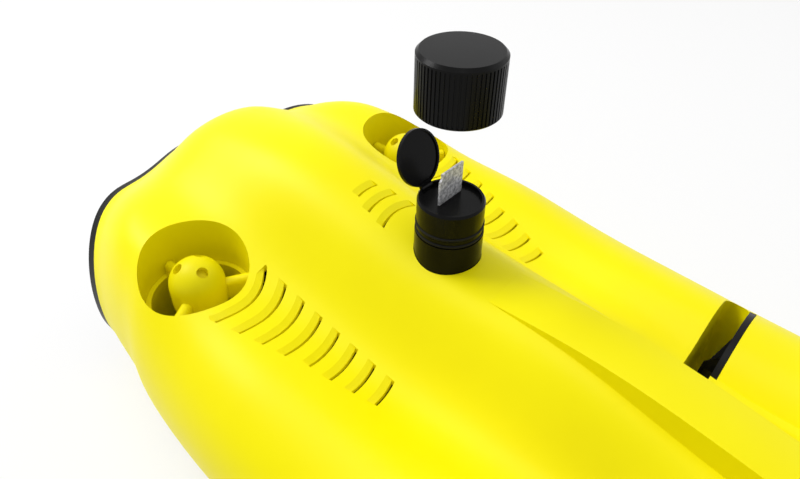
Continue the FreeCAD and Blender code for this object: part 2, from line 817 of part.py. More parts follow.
for side, reach in SIDES.items():
    lamp_x = f"{reach} * lamp_across"
    lamp_y = nose_y_at("lamp_across + lamp_radius")
    lens = new_body(f"lamp_lens_{side}")
    turn(lens, [("0", "-1.4"), ("lamp_radius * 0.6", "-1"), ("lamp_radius", "0.4"),
                ("lamp_radius", "2.4"), ("0", "2.4")])
    aft_facing(lens, lamp_x, lamp_y, "camera_height")
    cup = new_body(f"lamp_cup_{side}")
    turn(cup, [("lamp_radius - 1.2", "2.4"), ("lamp_radius", "2.4"), ("lamp_radius", "lamp_depth"),
               ("0", "lamp_depth"), ("0", "lamp_depth - 2"), ("lamp_radius * 0.5", "lamp_depth - 2")])
    aft_facing(cup, lamp_x, lamp_y, "camera_height")
    chip = new_body(f"lamp_board_{side}")
    turn(chip, box_corners("0", "lamp_depth - 2 - board_thickness", "lamp_radius * 0.5",
                           "lamp_depth - 2"))
    aft_facing(chip, lamp_x, lamp_y, "camera_height")

# -------------------------------------------------------------------------- electronics housing
HOUSING_FRONT = "hull_length / 2 - housing_setback"
HOUSING_CORNERS = [
    ("housing_width / 2 - housing_corner", "housing_back - housing_corner"),
    ("housing_corner - housing_width / 2", "housing_back - housing_corner"),
    ("housing_corner - housing_width / 2", f"housing_corner - ({HOUSING_FRONT})"),
    ("housing_width / 2 - housing_corner", f"housing_corner - ({HOUSING_FRONT})")]


def housing_outline(sketch, margin="0"):
    """The housing's round-cornered outline in plan, drawn in by a margin."""
    radius = f"housing_corner - {margin}"
    arcs = []
    for index, (x, y) in enumerate(HOUSING_CORNERS):
        centre = FreeCAD.Vector(number(x), number(y), 0)
        corner = Part.Circle(centre, FreeCAD.Vector(0, 0, 1), number(radius))
        arc = sketch.addGeometry(
            Part.ArcOfCircle(corner, math.pi / 2 * index, math.pi / 2 * (index + 1)))
        size = sketch.addConstraint(Sketcher.Constraint("Radius", arc, number(radius)))
        sketch.setExpression(f"Constraints[{size}]", bound(radius))
        hold(sketch, arc, 3, (x, y))
        arcs.append(arc)
    for arc, following in zip(arcs, arcs[1:] + arcs[:1]):
        start = sketch.Geometry[arc].EndPoint
        end = sketch.Geometry[following].StartPoint
        line = sketch.addGeometry(Part.LineSegment(start, end))
        sketch.addConstraint(Sketcher.Constraint("Tangent", arc, 2, line, 1))
        sketch.addConstraint(Sketcher.Constraint("Tangent", line, 2, following, 1))


electronics_housing = new_body("electronics_housing")
outline = new_sketch(electronics_housing, "XY_Plane", "housing_bottom")
housing_outline(outline)
pad(electronics_housing, outline, "housing_top - housing_bottom")
inside = new_sketch(electronics_housing, "XY_Plane", "housing_top")
housing_outline(inside, "housing_wall")
pocket(electronics_housing, inside, "housing_top - housing_bottom - housing_wall")
standoffs = new_sketch(electronics_housing, "XY_Plane", "housing_bottom + housing_wall / 2")
for sx in (-1, 1):
    for y in (f"{HOUSING_FRONT} - 14", f"{HOUSING_FRONT} - board_length - 2"):
        circle(standoffs, "screw_radius * 2", (f"{sx} * (board_width / 2 - 5)", f"-({y})"))
pad(electronics_housing, standoffs, "standoff_height + housing_wall / 2")

housing_seal = new_body("housing_seal")
ring = new_sketch(housing_seal, "XY_Plane", "housing_top")
housing_outline(ring, "housing_wall * 0.3")
housing_outline(ring, "housing_wall * 0.7")
pad(housing_seal, ring, "housing_seal")

housing_lid = new_body("housing_lid")
lid_outline = new_sketch(housing_lid, "XY_Plane", "housing_top + housing_seal")
housing_outline(lid_outline)
pad(housing_lid, lid_outline, "housing_lid_thickness")
lid_hole = new_sketch(housing_lid, "XY_Plane", "housing_top + housing_seal + housing_lid_thickness")
circle(lid_hole, "spigot_radius + run_gap", ("0", "-hatch_ahead"))
pocket(housing_lid, lid_hole, "housing_lid_thickness")


def is_upright(edge):
    """Whether an edge is straight and vertical."""
    span = edge.BoundBox
    return isinstance(edge.Curve, Part.Line) and span.XLength < 1e-3 and span.YLength < 1e-3


battery_pack = new_body("battery_pack")
cells = new_sketch(battery_pack, "XY_Plane", "housing_bottom + housing_wall")
polygon(cells, box_corners(
    "-battery_width / 2", "housing_back - housing_wall - part_gap - battery_length",
    "battery_width / 2", "housing_back - housing_wall - part_gap"))
round_edges(battery_pack, pad(battery_pack, cells, "battery_height"), "housing_corner", is_upright)

main_board = new_body("main_board")
board = new_sketch(main_board, "XY_Plane", "housing_bottom + housing_wall + standoff_height")
polygon(board, box_corners("-board_width / 2", f"8 - ({HOUSING_FRONT})",
                           "board_width / 2", f"8 - ({HOUSING_FRONT}) + board_length"))
pad(main_board, board, "board_thickness")
chips = new_sketch(main_board, "XY_Plane",
                   "housing_bottom + housing_wall + standoff_height + board_thickness")
polygon(chips, box_corners("-board_width / 4", f"30 - ({HOUSING_FRONT})",
                           "board_width / 8", f"52 - ({HOUSING_FRONT})"))
polygon(chips, box_corners("-board_width / 3", f"66 - ({HOUSING_FRONT})",
                           "board_width / 3", f"80 - ({HOUSING_FRONT})"))
pad(main_board, chips, "board_thickness * 2")

# ---------------------------------------------------------------------------- vertical thrusters
DUCT_FOOT = "keel_height + grille_lift + grille_thickness"


def put_in_pod(item, x, y):
    """Lays an item, built about its own Z axis, along a horizontal thruster's axis."""
    return place(item, x=x, y=y, z="pod_height", axis=(1, 0, 0), angle=-90)


def motor_spider(well, x, y, drop):
    """The domed motor mount: a hub with a round top, three struts and their ring."""
    tag = f"spider_{well}"
    dome = primitive("Part::Sphere", f"{tag}_dome", {"Radius": "dome_radius"}, z="dome_height")
    dome.Angle1 = 0
    skirt = primitive("Part::Cylinder", f"{tag}_skirt",
                  {"Radius": "dome_radius", "Height": "strut_height + 3"},
                  z="dome_height - strut_height - 3")
    rim = primitive("Part::Cylinder", f"{tag}_rim",
                    {"Radius": "well_radius - fit_gap", "Height": "strut_ring_height"}, z="duct_top")
    rim_hole = primitive("Part::Cylinder", f"{tag}_rim_hole",
                     {"Radius": "duct_radius", "Height": "strut_ring_height"}, z="duct_top")
    struts = []
    for turn_angle in (-90, 30, 150):
        struts.append(made(f"{tag}_strut_{turn_angle}", strut_shape(turn_angle)))
    body = fuse(f"{tag}_body", [dome, skirt, cut(f"{tag}_ring", rim, rim_hole)] + struts)
    room = primitive("Part::Cylinder", f"{tag}_room",
                 {"Radius": "motor_radius + run_gap", "Height": "strut_height + 5"},
                 z="dome_height - strut_height - 4")
    vents = [made(f"{tag}_vent_{angle}", vent_shape(angle)) for angle in (90, 210, 330)]
    spider = cut(f"motor_spider_{well}", body, fuse(f"{tag}_openings", [room] + vents))
    return place(spider, x=x, y=y, z=f"0 - {drop}")


def strut_shape(angle):
    """A strut with a rounded back that reaches from the hub to the ring."""
    length = dim.duct_radius + 1.5 - dim.motor_radius - 1
    radius = dim.strut_width / 2
    foot = dim.duct_top
    top = dim.dome_height - dim.strut_height * 0.15
    block = Part.makeBox(length, dim.strut_width, top - foot - radius,
                         FreeCAD.Vector(dim.motor_radius + 1, -radius, foot))
    back = Part.makeCylinder(radius, length, FreeCAD.Vector(dim.motor_radius + 1, 0, top - radius),
                             FreeCAD.Vector(1, 0, 0))
    bar = block.fuse(back).removeSplitter()
    return bar.rotate(FreeCAD.Vector(0, 0, 0), FreeCAD.Vector(0, 0, 1), angle)


def vent_shape(angle):
    """One of the dome's round water holes, drilled at its centre from above."""
    tilt = math.radians(dim.dome_hole_tilt)
    turn_angle = math.radians(angle)
    way = FreeCAD.Vector(math.cos(tilt) * math.cos(turn_angle),
                         math.cos(tilt) * math.sin(turn_angle), math.sin(tilt))
    start = FreeCAD.Vector(0, 0, dim.dome_height) + way * (dim.dome_radius - 3.5)
    return Part.makeCylinder(dim.dome_hole / 2, 8, start, way)


BLADE_COUNT = 3
BLADE_THICKNESS = 1.4
# along the blade, its chord as a share of the tip's radius, and its pitch in degrees
BLADE_STATIONS = [
    (0.0, 0.32, 56.0), (0.25, 0.50, 45.0), (0.5, 0.62, 36.0), (0.75, 0.60, 30.0), (1.0, 0.44, 25.0)]


def blade(hub_radius, tip_radius, height):
    """One twisted blade: bevelled sections along X, flatter and finer towards the tip."""
    sections = []
    start = hub_radius * 0.8
    for share, chord_share, pitch in BLADE_STATIONS:
        reach = start + share * (tip_radius + 2 - start)
        half_chord = chord_share * tip_radius / 2
        thick = BLADE_THICKNESS * (1.25 - 0.6 * share) / 2
        tilt = math.radians(pitch)
        across = FreeCAD.Vector(0, math.cos(tilt), math.sin(tilt))
        out = FreeCAD.Vector(0, -math.sin(tilt), math.cos(tilt))
        middle = FreeCAD.Vector(reach, 0, height)
        lead, trail = middle + across * half_chord, middle - across * half_chord
        flat = across * (half_chord * 0.45)
        sections.append(Part.makePolygon([
            lead, middle + flat + out * thick, middle - flat + out * thick, trail,
            middle - flat - out * thick, middle + flat - out * thick, lead]))
    return Part.makeLoft(sections, True, True)


def propeller(label, tip_radius):
    """A propeller about its own Z axis, with its hub's lower face at zero."""
    hub = primitive("Part::Cylinder", f"{label}_hub",
                {"Radius": "prop_hub_radius", "Height": "prop_hub_length"})
    cap = primitive("Part::Sphere", f"{label}_nose", {"Radius": "prop_hub_radius"})
    cap.Angle2 = 0
    disc = Part.makeCylinder(tip_radius, 3 * dim.prop_hub_length,
                             FreeCAD.Vector(0, 0, -dim.prop_hub_length))
    first = blade(dim.prop_hub_radius, tip_radius, dim.prop_hub_length / 2).common(disc)
    blades = []
    for index in range(BLADE_COUNT):
        copy = first.copy()
        copy.rotate(FreeCAD.Vector(0, 0, 0), FreeCAD.Vector(0, 0, 1), 360 / BLADE_COUNT * index)
        blades.append(made(f"{label}_blade_{index}", copy))
    bore = primitive("Part::Cylinder", f"{label}_bore",
                 {"Radius": "shaft_radius", "Height": "prop_hub_length * 2"},
                 z="-prop_hub_length / 3")
    return cut(label, fuse(f"{label}_body", [hub, cap] + blades), bore)


def motor(label):
    """A sealed motor about its own Z axis: its can, its neck and the shaft's bore."""
    body = new_body(label)
    turn(body, [
        ("shaft_radius + run_gap", "0"), ("shaft_radius * 2.4", "0"), ("shaft_radius * 2.4", "2"),
        ("motor_radius - 1", "2"), ("motor_radius", "3"), ("motor_radius", "motor_length"),
        ("0", "motor_length"), ("0", "motor_length - 2"),
        ("shaft_radius + run_gap", "motor_length - 2")])
    return body


def shaft(label):
    """A steel shaft about its own Z axis, with chamfered ends."""
    body = new_body(label)
    turn(body, [
        ("0", "0"), ("shaft_radius - 0.3", "0"), ("shaft_radius", "0.3"),
        ("shaft_radius", "shaft_length - 0.3"), ("shaft_radius - 0.3", "shaft_length"),
        ("0", "shaft_length")])
    return body


MOTOR_TOP = "dome_height + 1"
for well, (x, y, drop) in WELLS.items():
    duct = new_body(f"well_duct_{well}")
    turn(duct, tube("duct_radius", "well_radius - fit_gap", DUCT_FOOT, f"duct_top - {drop}"))
    place(duct, x=x, y=y)
    motor_spider(well, x, y, drop)
    motor_foot = f"{MOTOR_TOP} - motor_length - {drop}"
    place(motor(f"motor_{well}"), x=x, y=y, z=motor_foot)
    prop_foot = f"{motor_foot} - prop_gap - prop_hub_length"
    place(propeller(f"propeller_{well}", dim.vertical_prop_radius), x=x, y=y, z=prop_foot)
    place(shaft(f"propeller_shaft_{well}"), x=x, y=y, z=f"{prop_foot} - 1")


def well_grille():
    """The guard over a well's lower mouth: a rim, a ring, a middle boss and six spokes."""
    height = dim.grille_thickness
    outer = dim.well_radius - dim.fit_gap

    def band(inside, outside):
        return Part.makeCylinder(outside, height).cut(Part.makeCylinder(inside, height))

    shape = band(dim.duct_radius - 1.5, outer).fuse(band(11.0, 12.6)).fuse(
        Part.makeCylinder(4.0, height))
    for index in range(6):
        spoke = Part.makeBox(dim.duct_radius - 2, 1.8, height, FreeCAD.Vector(2, -0.9, 0))
        spoke.rotate(FreeCAD.Vector(0, 0, 0), FreeCAD.Vector(0, 0, 1), 60 * index)
        shape = shape.fuse(spoke)
    return shape.removeSplitter()


grilles = []
for well, (x, y, drop) in WELLS.items():
    grille = made(f"grille_{well}", well_grille())
    grilles.append(place(grille, x=x, y=y, z="keel_height + grille_lift"))
well_grilles = doc.addObject("Part::Compound", "well_grilles")
well_grilles.Links = grilles

# -------------------------------------------------------------------------- horizontal thrusters
NOZZLE_LENGTH = "hull_length / 2 - nozzle_setback - guard_behind - guard_thickness - fit_gap"


def intake_guard(side, x):
    """The ring at a pod's mouth, with the hub and the sloping arms that carry the motor."""
    tag = f"guard_{side}"
    depth = dim.guard_nose_length
    ring = Part.makeCylinder(dim.guard_radius, dim.guard_thickness).cut(
        Part.makeCylinder(dim.guard_opening, dim.guard_thickness))
    hub = Part.makeCylinder(dim.guard_hub_radius, dim.guard_thickness + 4).fuse(
        Part.makeCone(dim.guard_nose_radius, dim.guard_hub_radius, depth,
                      FreeCAD.Vector(0, 0, -depth)))
    shape = ring.fuse(hub)
    for index in range(4):
        root = FreeCAD.Vector(dim.guard_nose_radius - 1, -1.6, -depth + 1)
        foot = FreeCAD.Vector(dim.guard_opening + 1.5, -1.6, dim.guard_thickness * 0.64)
        outline = Part.makePolygon([
            root, foot, FreeCAD.Vector(foot.x, foot.y, dim.guard_thickness),
            FreeCAD.Vector(dim.guard_nose_radius - 1, -1.6, dim.guard_thickness), root])
        arm = Part.Face(outline).extrude(FreeCAD.Vector(0, 3.2, 0))
        arm.rotate(FreeCAD.Vector(0, 0, 0), FreeCAD.Vector(0, 0, 1), 45 + 90 * index)
        shape = shape.fuse(arm)
    blank = made(f"{tag}_blank", shape.removeSplitter())
    socket = primitive("Part::Cylinder", f"{tag}_socket",
                   {"Radius": "motor_radius + run_gap", "Height": "guard_thickness + 4"},
                       z="guard_thickness")
    return put_in_pod(cut(f"intake_guard_{side}", blank, socket), x, "guard_behind")


for side, x in PODS.items():
    intake_guard(side, x)
    nozzle = new_body(f"thrust_nozzle_{side}")
    turn(nozzle, [
        ("pod_radius - nozzle_wall - fit_gap", "0"), ("pod_radius - fit_gap", "0"),
        ("pod_radius - fit_gap", NOZZLE_LENGTH), ("pod_radius - nozzle_wall", NOZZLE_LENGTH),
        ("pod_radius - nozzle_wall - fit_gap", f"{NOZZLE_LENGTH} - 6")])
    put_in_pod(nozzle, x, "guard_behind + guard_thickness + fit_gap")
    drive = motor(f"motor_thrust_{side}")
    place(drive, x=x, y="guard_behind + guard_thickness + motor_length", z="pod_height",
          axis=(1, 0, 0), angle=90)
    prop_y = "guard_behind + guard_thickness + motor_length + prop_gap + prop_hub_length"
    screw = propeller(f"propeller_thrust_{side}", dim.thrust_prop_radius)
    place(screw, x=x, y=prop_y, z="pod_height", axis=(1, 0, 0), angle=90)
    axle = shaft(f"propeller_shaft_thrust_{side}")
    place(axle, x=x, y=f"{prop_y} + 1", z="pod_height", axis=(1, 0, 0), angle=90)

# ------------------------------------------------------------------------------------- canister
LID_PLATE = "housing_top + housing_seal + housing_lid_thickness"
CANISTER_TOP = "deck_height + canister_height"
RECESS_FLOOR = f"{CANISTER_TOP} - lid_thickness - part_gap"
CARD_Y = "-hatch_ahead - card_ahead"
CARD_X = "-card_aside"
PIN_HEIGHT = f"{CANISTER_TOP} - knuckle_radius - 0.05"
PIN_Y = "-hatch_ahead - lid_reach"

canister = new_body("canister_wall")
groove = "deck_height + canister_step"
turn(canister, [
    ("canister_bore", f"{LID_PLATE} - housing_lid_thickness - nut_height"),
    ("spigot_radius", f"{LID_PLATE} - housing_lid_thickness - nut_height"),
    ("spigot_radius", LID_PLATE), ("flange_radius", LID_PLATE),
    ("flange_radius", f"{LID_PLATE} + flange_thickness"),
    ("canister_foot_radius", f"{LID_PLATE} + flange_thickness"),
    ("canister_foot_radius", groove),
    ("canister_radius - seal_radius", groove),
    ("canister_radius - seal_radius", f"{groove} + 2 * seal_radius"),
    ("canister_radius", f"{groove} + 2 * seal_radius"),
    ("canister_radius", f"{groove} + seal_pitch"),
    ("canister_radius - seal_radius", f"{groove} + seal_pitch"),
    ("canister_radius - seal_radius", f"{groove} + seal_pitch + 2 * seal_radius"),
    ("canister_radius", f"{groove} + seal_pitch + 2 * seal_radius"),
    ("canister_radius", f"{CANISTER_TOP} - 1"), ("canister_radius - 0.6", CANISTER_TOP),
    ("lid_radius + lid_gap", CANISTER_TOP), ("lid_radius + lid_gap", RECESS_FLOOR),
    ("0", RECESS_FLOOR), ("0", f"{RECESS_FLOOR} - 3"),
    ("canister_bore", f"{RECESS_FLOOR} - 3")])
place(canister, y="-hatch_ahead")
notch = primitive("Part::Box", "hinge_notch",
                  {"Length": "knuckle_width + 0.6", "Width": "knuckle_radius * 4", "Height": "5"},
                  x="-knuckle_width / 2 - 0.3", y=f"{PIN_Y} - knuckle_radius * 2.5",
                  z=f"{PIN_HEIGHT} - knuckle_radius - 0.4")
pin_hole = primitive("Part::Cylinder", "hinge_pin_hole",
                     {"Radius": "pin_radius", "Height": "pin_length"},
                     x="-pin_length / 2", y=PIN_Y, z=PIN_HEIGHT, axis=(0, 1, 0), angle=90)
card_slot = primitive("Part::Box", "card_slot",
                      {"Length": "card_width + 2 * part_gap", "Width": "card_thickness + 2 * part_gap",
                       "Height": "10"},
                      x=f"{CARD_X} - card_width / 2 - part_gap",
                      y=f"{CARD_Y} - card_thickness / 2 - part_gap", z=f"{RECESS_FLOOR} - 5")
canister_body = cut("canister_body", canister, fuse("canister_openings",
                                                    [notch, pin_hole, card_slot]))

seals = []
for index in range(2):
    seal = new_body(f"canister_seal_{index}")
    inner, outer = "canister_radius - seal_radius", "canister_radius - seal_radius + 2 * seal_cord"
    turn(seal, [
        (inner, "seal_cord / 2"), (f"{inner} + seal_cord / 2", "0"),
        (f"{outer} - seal_cord / 2", "0"), (outer, "seal_cord / 2"),
        (outer, "seal_cord * 3 / 2"), (f"{outer} - seal_cord / 2", "seal_cord * 2"),
        (f"{inner} + seal_cord / 2", "seal_cord * 2"), (inner, "seal_cord * 3 / 2")])
    seals.append(place(seal, y="-hatch_ahead",
                       z=f"{groove} + seal_radius - seal_cord + {index} * seal_pitch"))
canister_seals = doc.addObject("Part::Compound", "canister_seals")
canister_seals.Links = seals

nut = new_body("canister_nut")
nut_sketch = new_sketch(nut, "XY_Plane")
nut_points = [(f"{math.cos(math.pi * k / 3):.4f} * nut_radius",
               f"{math.sin(math.pi * k / 3):.4f} * nut_radius") for k in range(6)]
polygon(nut_sketch, [(x, "0" if k in (0, 3) else y) for k, (x, y) in enumerate(nut_points)])
circle(nut_sketch, "spigot_radius + run_gap")
pad(nut, nut_sketch, "nut_height")
place(nut, y="-hatch_ahead", z=f"{LID_PLATE} - housing_lid_thickness - nut_height")

SOCKET_DEPTH = "card_length + 1.5"
card_block = primitive("Part::Box", "card_block",
                       {"Length": "card_width + 2.4", "Width": "6", "Height": SOCKET_DEPTH},
                       x=f"{CARD_X} - card_width / 2 - 1.2", y=f"{CARD_Y} - 3",
                       z=f"{RECESS_FLOOR} - 3 - ({SOCKET_DEPTH})")
card_room = primitive("Part::Box", "card_room",
                      {"Length": "card_width + 2 * part_gap",
                       "Width": "card_thickness + 2 * part_gap", "Height": SOCKET_DEPTH},
                      x=f"{CARD_X} - card_width / 2 - part_gap",
                      y=f"{CARD_Y} - card_thickness / 2 - part_gap",
                      z=f"{RECESS_FLOOR} - 2 - ({SOCKET_DEPTH})")
bore_room = primitive("Part::Cylinder", "card_socket_round",
                      {"Radius": "canister_bore - part_gap", "Height": "canister_height * 2"},
                      y="-hatch_ahead", z=f"{RECESS_FLOOR} - canister_height * 2")
card_socket = cut("card_socket", common("card_socket_block", [card_block, bore_room]), card_room)

memory_card = new_body("memory_card")
card_sketch = new_sketch(memory_card, "XZ_Plane")
polygon(card_sketch, [
    ("-card_width / 2", "0"), ("card_width / 2", "0"), ("card_width / 2", "card_length - 3.2"),
    ("card_width / 2 - 1.1", "card_length - 2.2"), ("card_width / 2 - 1.1", "card_length"),
    ("-card_width / 2", "card_length")])
card_pad = pad(memory_card, card_sketch, "card_thickness")
card_pad.Midplane = True
place(memory_card, x=CARD_X, y=CARD_Y, z=f"{RECESS_FLOOR} + card_travel - card_length")

flip_lid = new_body("flip_lid")
disc = new_sketch(flip_lid, "XY_Plane", "knuckle_radius + 0.05 - lid_thickness")
circle(disc, "lid_radius", ("0", "lid_reach"))
pad(flip_lid, disc, "lid_thickness")
dish = new_sketch(flip_lid, "XY_Plane", "knuckle_radius + 0.05 - lid_thickness")
circle(dish, "lid_radius - lid_rim", ("0", "lid_reach"))
pocket(flip_lid, dish, "lid_thickness * 0.4", upwards=True)
neck = new_sketch(flip_lid, "YZ_Plane")
polygon(neck, [("0", "knuckle_radius"), ("0", "0"), ("0.6", "-0.45"), ("lid_reach - lid_radius + 1.5", "-0.45"),
               ("lid_reach - lid_radius + 1.5", "knuckle_radius")])
neck_pad = pad(flip_lid, neck, "knuckle_width")
neck_pad.Midplane = True
barrel = new_sketch(flip_lid, "YZ_Plane")
circle(barrel, "knuckle_radius")
barrel_pad = pad(flip_lid, barrel, "knuckle_width")
barrel_pad.Midplane = True
eye = new_sketch(flip_lid, "YZ_Plane")
circle(eye, "pin_radius + run_gap")
eye_cut = pocket(flip_lid, eye, "knuckle_width * 2")
eye_cut.Midplane = True
place(flip_lid, y=PIN_Y, z=PIN_HEIGHT, axis=(1, 0, 0), angle=dim.lid_angle)

lid_pin = primitive("Part::Cylinder", "lid_pin", {"Radius": "pin_radius", "Height": "pin_length"},
                    x="-pin_length / 2", y=PIN_Y, z=PIN_HEIGHT, axis=(0, 1, 0), angle=90)

# the cap and its gasket, which turn and slide on the canister's axis
CAP_SEAT = f"{CANISTER_TOP} + part_gap + gasket_thickness + cap_roof - cap_height"
screw_cap = new_body("screw_cap")
wall = turn(screw_cap, [
    ("cap_bore", "0"), ("cap_radius - 0.5", "0"), ("cap_radius", "0.5"),
    ("cap_radius", "cap_height - cap_bevel"), ("cap_radius - cap_bevel", "cap_height"),
    ("0", "cap_height"), ("0", "cap_height - cap_roof"), ("cap_bore", "cap_height - cap_roof")])
rib = new_sketch(screw_cap, "XY_Plane", "0.9")
polygon(rib, [("cap_radius - rib_depth", "-0.28"), ("cap_radius + 0.5", "-0.45"),
              ("cap_radius + 0.5", "0.45"), ("cap_radius - rib_depth", "0.28")])
rib_cut = pocket(screw_cap, rib, "cap_height - cap_bevel - 1.6", upwards=True)
doc.recompute()
pattern(screw_cap, rib_cut, dim.rib_count)
place(screw_cap, y="-hatch_ahead", z=f"{CAP_SEAT} + cap_lift")

cap_gasket = new_body("cap_gasket")
turn(cap_gasket, tube("lid_radius + lid_gap", "cap_bore - part_gap", "0",
                      "gasket_thickness - part_gap"))
place(cap_gasket, y="-hatch_ahead", z=f"{CAP_SEAT} + cap_lift + cap_height - cap_roof - gasket_thickness")

# ------------------------------------------------------------------------------------ underside
for side, reach in SIDES.items():
    skid = new_body(f"skid_{side}")
    foot = new_sketch(skid, "YZ_Plane")
    polygon(foot, [
        ("-skid_length / 2", "2.5"), ("-skid_length / 2 + 8", "0"), ("skid_length / 2 - 8", "0"),
        ("skid_length / 2", "2.5"), ("skid_length / 2", "keel_height"),
        ("-skid_length / 2", "keel_height")])
    runner = pad(skid, foot, "skid_width")
    runner.Midplane = True
    place(skid, x=f"{reach} * skid_across")

inserts = []
for index, (x, y) in enumerate(insert_places):
    insert = new_body(f"insert_{index}")
    turn(insert, tube("insert_bore", "insert_radius", "0", "insert_length"))
    inserts.append(place(insert, x=str(x), y=str(y), z="keel_height"))
accessory_inserts = doc.addObject("Part::Compound", "accessory_inserts")
accessory_inserts.Links = inserts

weights = []
for side, reach in SIDES.items():
    weight = primitive("Part::Box", f"weight_{side}",
                       {"Length": "weight_width", "Width": "weight_length", "Height": "weight_height"},
                       x=f"{reach} * weight_across - weight_width / 2", y="-weight_length / 2 + 10",
                       z="keel_height + hull_wall + part_gap")
    weights.append(weight)
trim_weights = doc.addObject("Part::Compound", "trim_weights")
trim_weights.Links = weights

screws = []
for index, (x, y) in enumerate(column_places):
    screw = new_body(f"case_screw_{index}")
    turn(screw, [
        ("0", "0"), ("screw_head_radius", "0"), ("screw_head_radius", "screw_head_height"),
        ("screw_radius", "screw_head_height"), ("screw_radius", "screw_length"), ("0", "screw_length")])
    screws.append(place(screw, x=str(x), y=str(y), z="keel_height"))
case_screws = doc.addObject("Part::Compound", "case_screws")
case_screws.Links = screws

tether_socket = new_body("tether_socket")
turn(tether_socket, [
    ("0", "-tether_gland"), ("tether_radius", "-tether_gland"), ("tether_radius", "0"),
    ("tether_flange", "0"), ("tether_flange", "tether_plate"), ("tether_radius", "tether_plate"),
    ("tether_radius", "hull_wall + tether_plate"), ("tether_bore", "hull_wall + tether_plate"),
    ("tether_bore", "-tether_gland / 4"), ("0", "-tether_gland / 4")])
aft_facing(tether_socket, "0", "hull_length / 2 - hull_wall - tether_plate", "tether_height")

# --------------------------------------------------------------------------------------- export
PIECES = (
    "upper_shell lower_shell nose_mask camera_bezel camera_window camera_lens camera_board "
    "camera_housing lamp_lens_port lamp_lens_starboard lamp_cup_port lamp_cup_starboard "
    "lamp_board_port lamp_board_starboard electronics_housing housing_seal housing_lid "
    "battery_pack main_board well_duct_port well_duct_starboard well_duct_rear "
    "motor_spider_port motor_spider_starboard motor_spider_rear motor_port motor_starboard "
    "motor_rear propeller_port propeller_starboard propeller_rear propeller_shaft_port "
    "propeller_shaft_starboard propeller_shaft_rear well_grilles thrust_nozzle_port "
    "thrust_nozzle_starboard intake_guard_port intake_guard_starboard motor_thrust_port "
    "motor_thrust_starboard propeller_thrust_port propeller_thrust_starboard "
    "propeller_shaft_thrust_port propeller_shaft_thrust_starboard canister_body canister_seals "
    "canister_nut card_socket memory_card flip_lid lid_pin screw_cap cap_gasket skid_port "
    "skid_starboard accessory_inserts trim_weights case_screws tether_socket").split()

doc.recompute()
for item in doc.Objects:
    if "Invalid" in item.State or "Error" in item.State:
        raise RuntimeError(f"{item.Label} did not recompute: {item.State}")
os.makedirs("parts", exist_ok=True)
for name in PIECES:
    shape = doc.getObjectsByLabel(name)[0].Shape
    if shape.isNull() or not shape.isValid() or not shape.Solids:
        raise RuntimeError(f"{name} is not a valid solid")
    shape.exportStep(os.path.join("parts", name + ".step"))
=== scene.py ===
"""The looks of the underwater inspection ROV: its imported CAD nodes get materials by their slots,
and a floor, three lamps, a white world and a camera are set around them."""
import json
import math

import bpy
from mathutils import Matrix, Vector

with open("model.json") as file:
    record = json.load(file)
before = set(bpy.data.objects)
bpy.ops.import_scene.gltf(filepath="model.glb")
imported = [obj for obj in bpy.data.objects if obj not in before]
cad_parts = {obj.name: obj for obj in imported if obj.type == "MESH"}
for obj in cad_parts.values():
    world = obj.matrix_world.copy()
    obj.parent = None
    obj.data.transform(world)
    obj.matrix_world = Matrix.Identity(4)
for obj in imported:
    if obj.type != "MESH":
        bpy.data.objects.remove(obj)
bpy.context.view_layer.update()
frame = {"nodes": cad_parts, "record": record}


# ------------------------------------------------------------------------------------ materials
COLOUR_DRIFT = 18.0  # noise scales, per metre
GLOSS_PATCHES = 60.0
BLEND_FROM = 0.35  # the noise values between which one colour turns into the other
BLEND_TO = 0.65
GRAIN_DEPTH = 0.2  # of the grain's size
METAL_ROUGH_SPREAD = 0.06


def new_material(name, **sockets):
    """A Principled material whose plain numbers and colours sit on the shader's own sockets."""
    material = bpy.data.materials.new(name)
    material.use_nodes = True
    shader = material.node_tree.nodes["Principled BSDF"]
    for socket, value in sockets.items():
        shader.inputs[socket.replace("_", " ")].default_value = value
    return material, material.node_tree, shader


def noise(tree, scale, detail=3.0):
    """Noise over object coordinates, with its own scale along each axis."""
    coordinates = tree.nodes.new("ShaderNodeTexCoord")
    mapping = tree.nodes.new("ShaderNodeMapping")
    mapping.inputs["Scale"].default_value = scale
    texture = tree.nodes.new("ShaderNodeTexNoise")
    texture.inputs["Scale"].default_value = 1.0
    texture.inputs["Detail"].default_value = detail
    tree.links.new(coordinates.outputs["Object"], mapping.inputs["Vector"])
    tree.links.new(mapping.outputs["Vector"], texture.inputs["Vector"])
    return texture.outputs["Fac"]


def even(scale):
    """The same noise scale along all three axes."""
    return (scale, scale, scale)


def spread(tree, value, low, high):
    """Maps a 0 to 1 value onto another range."""
    ramp = tree.nodes.new("ShaderNodeMapRange")
    ramp.inputs["To Min"].default_value = low
    ramp.inputs["To Max"].default_value = high
    tree.links.new(value, ramp.inputs["Value"])
    return ramp.outputs["Result"]


def blend_colours(tree, value, first, second):
    """The first colour where a 0 to 1 value is low, the second where it is high."""
    ramp = tree.nodes.new("ShaderNodeValToRGB")
    ramp.color_ramp.elements[0].position = BLEND_FROM
    ramp.color_ramp.elements[0].color = (*first, 1.0)
    ramp.color_ramp.elements[1].position = BLEND_TO
    ramp.color_ramp.elements[1].color = (*second, 1.0)
    tree.links.new(value, ramp.inputs["Fac"])
    return ramp.outputs["Color"]


def grain(tree, shader, scale, strength, distance):
    """Fine bumps on a moulded or cast surface."""
    bump = tree.nodes.new("ShaderNodeBump")
    bump.inputs["Strength"].default_value = strength
    bump.inputs["Distance"].default_value = distance
    tree.links.new(noise(tree, even(scale), detail=4.0), bump.inputs["Height"])
    tree.links.new(bump.outputs["Normal"], shader.inputs["Normal"])


